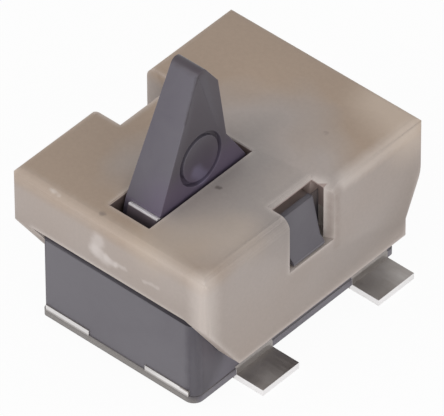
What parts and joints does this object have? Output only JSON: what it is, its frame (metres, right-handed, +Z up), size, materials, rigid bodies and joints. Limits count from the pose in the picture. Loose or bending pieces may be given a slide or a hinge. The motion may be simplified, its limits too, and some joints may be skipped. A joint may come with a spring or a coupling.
{
  "type": "detector switch",
  "caption": "Surface-mount detector switch: pale clip-on cover, dark moulded base, tall sprung lever that swings two ways, stamped contacts and flat solder tabs.",
  "frame": {"origin": "on the seating plane of the solder tabs, under the middle of the cover", "axes": "+X along the lever's axle towards the side with the visible hook notch, +Y along the lever's swing towards the far end of the cover, +Z up"},
  "size_m": [0.0036, 0.0044, 0.0044],
  "materials": {
    "cover_plastic": "matt moulded glass-filled nylon, greyish beige",
    "base_plastic": "satin moulded liquid-crystal polymer, dark grey",
    "lever_plastic": "satin moulded acetal, dark violet grey",
    "contact_metal": "silver-plated phosphor bronze strip",
    "lead_metal": "silver-plated stamped brass, cut ends bright",
    "spring_wire": "drawn stainless spring wire"
  },
  "bodies": {
    "housing": {"cover": "cover_plastic", "base": "base_plastic", "return_spring": "spring_wire", "common_terminal": "lead_metal", "reverse_terminal": "lead_metal", "forward_terminal": "lead_metal", "anchor_terminal": "lead_metal"},
    "rocker": {"lever": "lever_plastic", "moving_contact": "contact_metal"}
  },
  "joints": [
    {"name": "lever_swing", "type": "hinge", "parent": "housing", "child": "rocker", "pos_m": [0.0001, -0.00082, 0.00225], "axis": [1, 0, 0], "range_deg": [-35, 35], "stiffness_Nm_per_rad": 0.0009, "deforming": ["return_spring"]}
  ]
}
